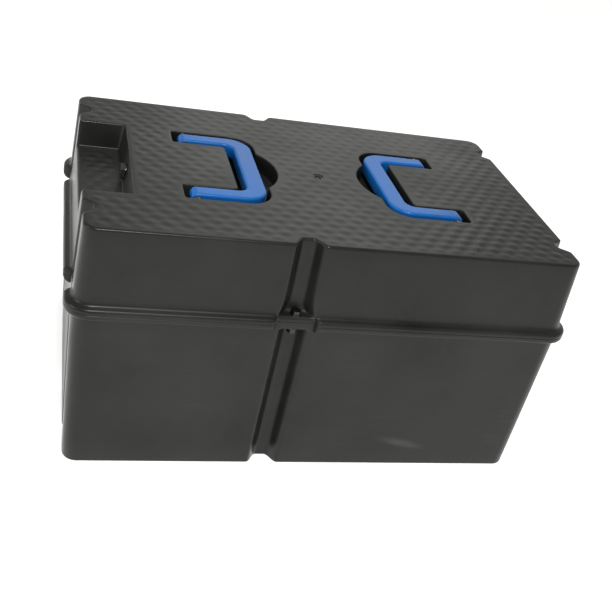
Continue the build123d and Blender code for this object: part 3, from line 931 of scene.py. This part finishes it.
def handle_patches(turned):
    """The upper half of a rounded section, and its mirror image, carried along the U between its
    inner and outer outlines, and turned about the pivot to close each leg's end."""
    near, far = grip_x, pivot[0]
    outer = rounded_path(
        [(far, -handle_half), (near, -handle_half), (near, handle_half), (far, handle_half)],
        [0, handle_outer_radius, handle_outer_radius, 0], closed=False, arc_points=20,
    )
    legs = handle_half - leg_width
    bight = near + grip_width
    inner = rounded_path(
        [(far, -legs), (bight, -legs), (bight, legs), (far, legs)],
        [0, handle_inner_radius, handle_inner_radius, 0], closed=False, arc_points=20,
    )
    across = outer - inner
    width = np.linalg.norm(across, axis=1)[:, None]
    across = across / width
    arc = np.radians(np.linspace(0, 90, 6))
    side = [(0, 0, 0.0)]
    near_edge = [
        (0, handle_edge * (1 - math.cos(a)), half_thick - handle_edge * (1 - math.sin(a)))
        for a in arc
    ]
    crown = [(share, 0, half_thick) for share in (0.35, 0.65)]
    far_edge = [(1, -inset, z) for _, inset, z in near_edge[::-1]]
    upper = side + near_edge + crown + far_edge + [(1, 0, 0.0)]
    section = upper + [(share, inset, -z) for share, inset, z in upper[-2:0:-1]]
    way = -1 if turned else 1

    def placed(x, y, z):
        return np.column_stack([way * x, way * y, z])

    rows = []
    for share, inset, z in section + section[:1]:
        point = inner + across * (share * width + inset)
        rows.append(placed(point[:, 0], point[:, 1], np.full(len(point), pivot[2] + z)))
    patches = [strip(np.array(rows), closed=False)]
    turn = np.radians(np.linspace(0, 180, 17))
    for end in (0, -1):
        caps = []
        for share, inset, z in upper:
            y = (inner + across * (share * width + inset))[end, 1]
            height = pivot[2] + z * np.cos(turn)
            caps.append(placed(far + z * np.sin(turn), np.full(len(turn), y), height))
        patches.append(strip(caps, closed=False))
    return patches


handle_plastic = moulded(
    "handle_plastic", colour=(0.006, 0.118, 0.42), rub_and_highlight_colour=(0.03, 0.18, 0.50),
    roughness=(0.24, 0.34), grain=1200, depth=0.12, rub=0.25, specular=0.30,
)
for name, turned in (("right_handle", False), ("left_handle", True)):
    handle = moulding(name + "_moulding", handle_patches(turned))
    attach(handle, name)
    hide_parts(name)
    handle.data.materials.append(handle_plastic)


# ---- Bolts ----
# Six black plated steel bolts, with washers and nuts, clamp the flange at its pads. A nylon ring
# under each head keeps its bolt in the lid when the lid comes off.
def metal(name, colour, roughness, metallic=1.0):
    """Plated steel: fine scratches stretched round the part, over a mottled roughness."""
    material = bpy.data.materials.new(name)
    material.use_nodes = True
    tree = material.node_tree
    link = tree.links.new
    shader = tree.nodes["Principled BSDF"]
    shader.inputs["Metallic"].default_value = metallic
    place = node(tree, "ShaderNodeTexCoord")
    stretch = node(tree, "ShaderNodeMapping")
    stretch.inputs["Scale"].default_value = (400.0, 400.0, 3000.0)
    link(place.outputs["Object"], stretch.inputs["Vector"])
    noise = node(tree, "ShaderNodeTexNoise", Scale=1.0, Detail=4.0)
    link(stretch.outputs[0], noise.inputs["Vector"])
    tint = node(tree, "ShaderNodeMix", data_type="RGBA")
    tint.inputs[6].default_value = (*[c * 0.75 for c in colour], 1)
    tint.inputs[7].default_value = (*[min(1, c * 1.25) for c in colour], 1)
    link(noise.outputs["Fac"], tint.inputs[0])
    link(tint.outputs[2], shader.inputs["Base Color"])
    rough = node(tree, "ShaderNodeMapRange")
    rough.inputs["To Min"].default_value = roughness - 0.08
    rough.inputs["To Max"].default_value = roughness + 0.1
    link(noise.outputs["Fac"], rough.inputs["Value"])
    link(rough.outputs[0], shader.inputs["Roughness"])
    bump = node(tree, "ShaderNodeBump", Strength=0.15, Distance=0.0001)
    link(noise.outputs["Fac"], bump.inputs["Height"])
    link(bump.outputs[0], shader.inputs["Normal"])
    return material


def dressed(finish, *nodes):
    """Gives CAD nodes a finish in place of their plain one."""
    for name in nodes:
        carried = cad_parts[name]
        carried.data.materials.clear()
        carried.data.materials.append(finish)


fastener_steel = metal("fastener_steel", (0.055, 0.056, 0.06), 0.36)
nylon = moulded(
    "nylon", colour=(0.62, 0.60, 0.54), rub_and_highlight_colour=(0.75, 0.73, 0.68),
    roughness=(0.4, 0.5), grain=1300, depth=0.1, rub=0.2,
)
dressed(fastener_steel, "flange_bolts", "bolt_washers", "nut_washers", "flange_nuts")
dressed(nylon, "bolt_retainers")

# ---- Handle pins ----
# A steel pin goes through each leg between two bosses, with plastic spacers beside the leg, and is
# closed off by a rubber plug pressed into the outer boss.
gland_plastic = moulded(
    "gland_plastic", colour=(0.010, 0.010, 0.011), rub_and_highlight_colour=(0.04, 0.04, 0.04),
    roughness=(0.16, 0.26), grain=1500, depth=0.08, rub=0.1,
)
dressed(fastener_steel, "right_front_pin", "right_back_pin", "left_front_pin", "left_back_pin")
dressed(gland_plastic, "handle_spacers")
dressed(seal_rubber, "pin_plugs")

# ---- Cable gland ----
# A moulded nylon gland goes through the recess's inner wall: a nut outside, and inside it a face
# seal, the body, the rubber bush that grips the cable, and the cap that squeezes the bush.
dressed(gland_plastic, "gland_lock_nut", "gland_body", "gland_cap")
dressed(seal_rubber, "gland_face_seal", "gland_insert")

# ---- Studio ----
# A pale floor, a white surround that dims upwards, and soft square lights: a strong one over the
# box, and weaker ones behind it and at its left.
floor_half = 30.0
ground = bpy.data.meshes.new("studio_floor")
ground.from_pydata(
    [(-floor_half, -floor_half, 0), (floor_half, -floor_half, 0), (floor_half, floor_half, 0),
     (-floor_half, floor_half, 0)], [], [(0, 1, 2, 3)],
)
floor = bpy.data.objects.new("studio_floor", ground)
bpy.context.scene.collection.objects.link(floor)
floor_paint = bpy.data.materials.new("studio_floor")
floor_paint.use_nodes = True
floor_shader = floor_paint.node_tree.nodes["Principled BSDF"]
floor_shader.inputs["Base Color"].default_value = (0.85, 0.85, 0.85, 1)
floor_shader.inputs["Emission Color"].default_value = (1, 1, 1, 1)
floor_shader.inputs["Emission Strength"].default_value = 0.58
floor_shader.inputs["Roughness"].default_value = 0.9
floor_shader.inputs["Specular IOR Level"].default_value = 0.0
floor.data.materials.append(floor_paint)

world = bpy.data.worlds.new("studio")
world.use_nodes = True
sky = world.node_tree
place = node(sky, "ShaderNodeTexCoord")
height = node(sky, "ShaderNodeSeparateXYZ")
sky.links.new(place.outputs["Generated"], height.inputs[0])
fade = node(sky, "ShaderNodeMapRange", interpolation_type="SMOOTHSTEP")
fade.inputs["From Max"].default_value = 0.3
fade.inputs["To Min"].default_value = 1.1
fade.inputs["To Max"].default_value = 0.45
sky.links.new(height.outputs["Z"], fade.inputs["Value"])
sky.links.new(fade.outputs[0], sky.nodes["Background"].inputs["Strength"])
sky.nodes["Background"].inputs["Color"].default_value = (1, 1, 0.95, 1)
bpy.context.scene.world = world
bpy.context.scene.view_settings.view_transform = "Standard"


def soft_light(name, position, target, size, power):
    """Square area light that faces a point."""
    lamp = bpy.data.lights.new(name, "AREA")
    lamp.shape = "SQUARE"
    lamp.size = size
    lamp.energy = power
    placed = bpy.data.objects.new(name, lamp)
    turned = (Vector(target) - Vector(position)).to_track_quat("-Z", "Y").to_matrix().to_4x4()
    placed.matrix_world = Matrix.Translation(position) @ turned
    bpy.context.scene.collection.objects.link(placed)


soft_light("over", (-0.25, -0.95, 1.9), (0, 0, 0.3), 0.32, 22.0)
soft_light("behind", (0.6, 1.9, 1.5), (0, 0, 0.3), 1.2, 4.0)
soft_light("left", (-1.6, -0.3, 0.9), (-0.28, 0, 0.2), 0.6, 5.0)

# ---- Camera ----
# It stands in front of the box and to its left, looks down on it and is rolled clockwise. Its
# place is in metres and its angles are turned into the three axes of its view.
camera_place = (-0.3192, -0.9678, 0.7335)
camera_azimuth = math.radians(-19.53)
camera_elevation = math.radians(31.13)
camera_roll = math.radians(13.73)
camera_lens = 54.21
back = Vector((
    math.sin(camera_azimuth) * math.cos(camera_elevation),
    -math.cos(camera_azimuth) * math.cos(camera_elevation),
    math.sin(camera_elevation),
))
level_right = (-back).cross(Vector((0, 0, 1))).normalized()
level_up = back.cross(level_right)
right = math.cos(camera_roll) * level_right + math.sin(camera_roll) * level_up
up = math.cos(camera_roll) * level_up - math.sin(camera_roll) * level_right
camera_data = bpy.data.cameras.new("camera")
camera_data.lens = camera_lens
camera_data.sensor_width = 36.0
camera = bpy.data.objects.new("camera", camera_data)
camera.matrix_world = Matrix((
    (right.x, up.x, back.x, camera_place[0]),
    (right.y, up.y, back.y, camera_place[1]),
    (right.z, up.z, back.z, camera_place[2]),
    (0, 0, 0, 1),
))
bpy.context.scene.collection.objects.link(camera)
bpy.context.scene.camera = camera
